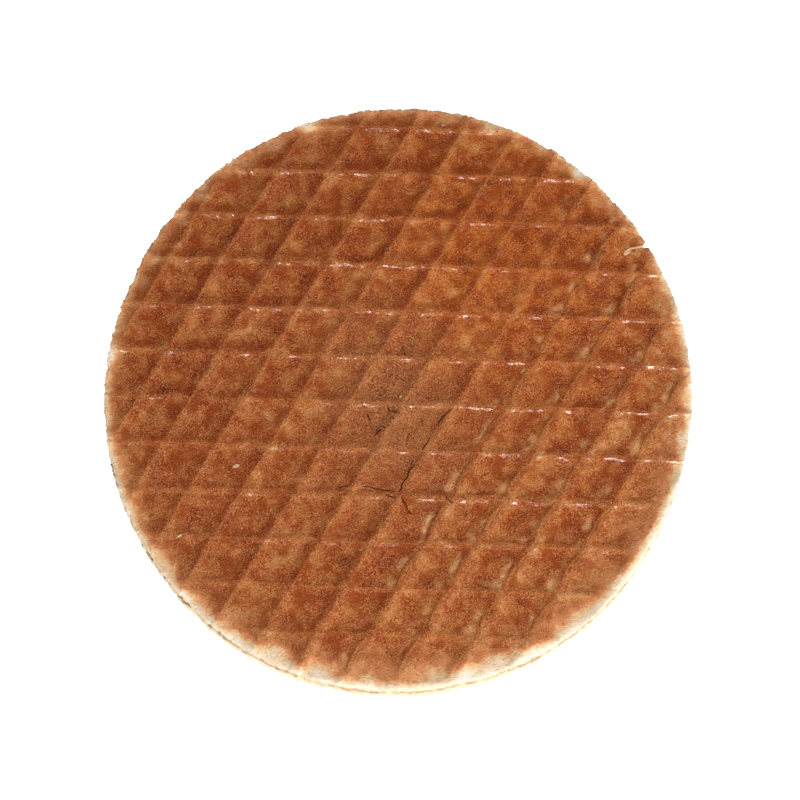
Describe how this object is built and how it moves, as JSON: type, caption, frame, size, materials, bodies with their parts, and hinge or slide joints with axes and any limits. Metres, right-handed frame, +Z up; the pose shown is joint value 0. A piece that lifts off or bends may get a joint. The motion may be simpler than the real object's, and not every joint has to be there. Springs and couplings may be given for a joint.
{
  "type": "stroopwafel",
  "caption": "Round waffle biscuit: thin browned waffle halves with a rhombic ridge pattern and a layer of caramel syrup between them.",
  "frame": {"origin": "middle of the underside, in the plane of the ridge crests it rests on", "axes": "+Z up through the layers; +X to the right as the upper face is read, +Y away from the viewer"},
  "size_m": [0.0804, 0.0798, 0.0074],
  "materials": {
    "wafer": "baked, matt golden brown with pale cut edges",
    "caramel": "set caramel syrup, semi-gloss"
  },
  "bodies": {
    "root": {"wafer_bottom": "wafer", "caramel": "caramel", "wafer_top": "wafer"}
  },
  "joints": []
}
